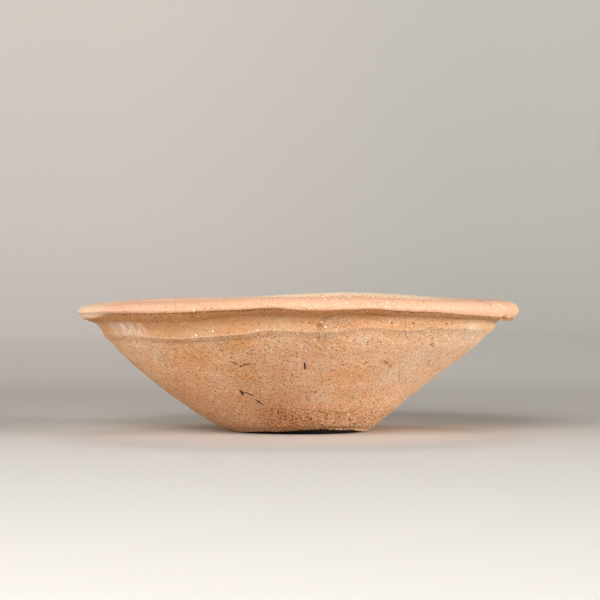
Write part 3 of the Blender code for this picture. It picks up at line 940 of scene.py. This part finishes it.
# pocks, pinholes and rust, ragged because the place that they are read at is jittered
rough_place = place.moved(place.noise(900.0, 2.0) * 0.0010)
pinholes = rough_place.dots(PINHOLES)
pocks = rough_place.flecks(*POCKS)
fine_pocks = rough_place.moved((0.3, 0.1, 0.2)).flecks(*FINE_POCKS)
sand_pocks = rough_place.moved((0.7, 0.2, 0.5)).flecks(*SAND_POCKS) * wires.field("worn")
rust = rough_place.moved((0.5, 0.9, 0.1)).flecks(*RUST_FLECKS) * place.noise(110.0).ease(0.36, 0.52)
halos = rough_place.dots([(at, up, radius + RUST_HALO) for at, up, radius in PINHOLES])
body = body.mixed((rust * 0.85 * coarse + halos * 0.45).ease(0.0, 1.0), RUST)

# white grit, and pale sand where the foot is worn
fine_grit = place.moved((0.2, 1.9, 0.6)).flecks(*FINE_GRIT)
sand_grit = place.moved((1.2, 0.4, 0.8)).flecks(*SAND_GRIT) * wires.field("worn")
body = body.mixed((fine_grit * coarse * 0.75).ease(0.0, 1.0), GRIT)
body = body.mixed(sand_grit * 0.6, SAND)

# a crack's lower lip is lit, so a pale line lies just below each dark one
crack_lines = [(path, width) for path, width, _ in CRACKS]
body = body.mixed(rough_place.lines(crack_lines, CRACK_FRINGE) * 0.6, PALE)
body = body.mixed(place.lines(SCRATCHES) * 0.6, PALE)
body = body.mixed(place.dots(GRIT_SPOTS) * 0.9, GRIT)

# all that is dark comes last: painted shade in the cracks, holes and pits, with the dark scratches and lines
hole_shade = pinholes * 0.95 + pocks * 0.95 + fine_pocks * 0.85 + sand_pocks * 0.95
crack_shade = rough_place.lines([(path, width * 0.9) for path, width in crack_lines])
scored = place.lines(DARK_SCRATCHES) * 0.6 + dashes * 0.55 + lip_crease_shade * 0.5 + ridge_shadow_line * 0.22
darkness = wires.field("dark") + hole_shade * coarse.ease(0.0, 1.0) + crack_shade + scored
body = body.mixed(darkness.ease(0.0, 1.0), SHADE_AND_SCRATCH_BROWN)
# the foot's underside in the front gap is painted near black, as painted shade
body = body.mixed(wires.field("foot_gap_shade"), PAINTED_SHADE_BLACK)

# grain and holes finer than the mesh tilt the light a little
rise = mottle * 0.5 + speckle * 0.5 - pocks * 0.8 - fine_pocks * 0.5 - sand_pocks * 0.8 - pinholes
bump = wires.node("Bump", {}, {"Strength": 0.7, "Distance": 0.0004, "Height": rise}, "Normal")
tree.links.new(body.socket, shader.inputs["Base Color"])
tree.links.new(bump.socket, shader.inputs["Normal"])
shader.inputs["Roughness"].default_value = 0.88
shader.inputs["Specular IOR Level"].default_value = 0.25

bowl = bpy.data.objects.new("earthenware_bowl", mesh)
scene.collection.objects.link(bowl)
mesh.materials.append(material)
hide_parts("bowl")
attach(bowl, "root")

# The floor. A round sheet of pale paper, flat under the bowl, which curves up far off on all
# sides. It glows a little there, as if lit from behind.

BEND_START = 3.6
BEND_RADIUS = 1.0
SWEEP_LENGTH = 8.0
SWEEP_ROWS = 160
SWEEP_COLUMNS = 128
PAPER = colour(219, 214, 210)
# darker, warmer paper beyond the bowl's front: painted shade and bounced light
SHADED_PAPER_BEHIND = colour(193, 188, 180)
GLOW = colour(161, 154, 151)
RIGHT_GLOW = colour(141, 141, 137)
NO_GLOW = colour(0, 0, 0)
# How strongly it glows: near behind the bowl, far behind it, all round, and where it rises
NEAR_GLOW = 0.38
FAR_GLOW = 0.54
ROUND_GLOW = 0.92
RISING_GLOW = 0.08


def sweep_line(along):
    """A point (radius, z) of the sweep: flat, then a quarter circle, then straight up."""
    turn = np.clip((along - BEND_START) / BEND_RADIUS, 0, np.pi / 2)
    rest = np.clip(along - BEND_START - BEND_RADIUS * np.pi / 2, 0, None)
    radius = np.minimum(along, BEND_START) + BEND_RADIUS * np.sin(turn)
    return radius, BEND_RADIUS * (1 - np.cos(turn)) + rest


sweep_radius, sweep_z = sweep_line(np.linspace(0.0, SWEEP_LENGTH, SWEEP_ROWS + 1)[1:])
sweep_turn = np.linspace(0.0, 2 * np.pi, SWEEP_COLUMNS, endpoint=False)
sweep_x = sweep_radius[:, None] * np.cos(sweep_turn)
sweep_y = sweep_radius[:, None] * np.sin(sweep_turn)
grid = np.stack(np.broadcast_arrays(sweep_x, sweep_y, sweep_z[:, None]), axis=-1).reshape(-1, 3)
paper_quads = quads_round(SWEEP_ROWS, SWEEP_COLUMNS)
spoke = np.arange(SWEEP_COLUMNS)
middle = np.stack([np.full(SWEEP_COLUMNS, len(grid)), spoke, (spoke + 1) % SWEEP_COLUMNS], axis=-1)
paper_mesh = bpy.data.meshes.new("paper_sweep")
paper_vertices = grid.tolist() + [[0.0, 0.0, 0.0]]
paper_mesh.from_pydata(paper_vertices, [], paper_quads.tolist() + middle.tolist())
paper_mesh.shade_smooth()
paper = bpy.data.objects.new("paper_sweep", paper_mesh)
scene.collection.objects.link(paper)

paper_material = bpy.data.materials.new("pale_paper")
paper_material.use_nodes = True
paper_tree = paper_material.node_tree
paper_shader = paper_tree.nodes["Principled BSDF"]
paper_place = Wire(paper_tree).node("TexCoord", {}, {}, "Object")
sideways, back, upward = (
    paper_place.node("SeparateXYZ", {}, {0: paper_place}, axis) for axis in ("X", "Y", "Z")
)

# the glow: rising behind the bowl, then all round where the sheet bends up, and fading high up
level_place = paper_place.stretched((1.0, 1.0, 0.0))
distance = paper_place.vector("LENGTH", {0: level_place}, "Value")
behind = back.ease(0.3, 1.1) * NEAR_GLOW + back.ease(0.8, 3.8) * FAR_GLOW
behind = behind * (1.0 - sideways.maths("ABSOLUTE", sideways).ease(0.7, 1.6))
glow = behind.maths("MAXIMUM", behind, distance.ease(2.2, 3.6) * ROUND_GLOW)
glow = (glow + upward.ease(0.05, 0.3) * RISING_GLOW) * (1.0 - upward.ease(1.0, 1.8))

# the glow is cooler at the right, and beyond the bowl's front the paper is painted darker and warmer, as
# painted shade and bounced warm light
glow_colour = sideways.ease(-0.5, 0.5).blend(GLOW, RIGHT_GLOW).mixed(1.0 - glow, NO_GLOW)
paper_colour = back.ease(-0.25, 0.15).blend(PAPER, SHADED_PAPER_BEHIND)
paper_tree.links.new(paper_colour.socket, paper_shader.inputs["Base Color"])
paper_tree.links.new(glow_colour.socket, paper_shader.inputs["Emission Color"])
paper_shader.inputs["Emission Strength"].default_value = 1.0
paper_shader.inputs["Roughness"].default_value = 0.9
paper_shader.inputs["Specular IOR Level"].default_value = 0.1
paper_mesh.materials.append(paper_material)

# The light. A large soft box over the camera's left, low ones far off at the right and the left,
# a high weak one behind, and a dim room.

# Each soft box: its name, bearing, elevation, how far off and how wide it is, and its power
SOFT_BOXES = (
    ("key_light", 255.0, 29.0, 1.8, 1.05, 27.8),
    ("right_light", 344.0, 8.0, 3.2, 0.89, 86.5),
    ("left_light", 188.0, 10.0, 3.2, 0.89, 28.5),
    ("back_light", 90.0, 50.0, 3.0, 1.30, 17.0),
)
AIM = (0.0, 0.0, 0.04)
ROOM = colour(200, 194, 190)
ROOM_STRENGTH = 0.02

for name, turn, elevation, away, size, power in SOFT_BOXES:
    lamp = bpy.data.lights.new(name, "AREA")
    lamp.shape = "DISK"
    lamp.size = size
    lamp.energy = power
    soft_box = bpy.data.objects.new(name, lamp)
    turn, elevation = np.radians(turn), np.radians(elevation)
    level = away * np.cos(elevation)
    step = (level * np.cos(turn), level * np.sin(turn), away * np.sin(elevation))
    soft_box.location = [middle + part for middle, part in zip(AIM, step)]
    soft_box.rotation_euler = (np.pi / 2 - elevation, 0.0, turn + np.pi / 2)
    scene.collection.objects.link(soft_box)

world = bpy.data.worlds.new("room")
scene.world = world
world.use_nodes = True
world.node_tree.nodes["Background"].inputs["Color"].default_value = ROOM
world.node_tree.nodes["Background"].inputs["Strength"].default_value = ROOM_STRENGTH

# The camera, level with the rim and square to the front, far back with a long lens.

CAMERA_PLACE = (0.0011, -1.250, 0.0714)
CAMERA_LENS = 137.1
CAMERA_SENSOR = 36.0

camera_data = bpy.data.cameras.new("camera")
camera_data.lens = CAMERA_LENS
camera_data.sensor_width = CAMERA_SENSOR
camera = bpy.data.objects.new("camera", camera_data)
camera.location = CAMERA_PLACE
camera.rotation_euler = (np.pi / 2, 0.0, 0.0)
scene.collection.objects.link(camera)
scene.camera = camera
scene.view_settings.view_transform = "Standard"
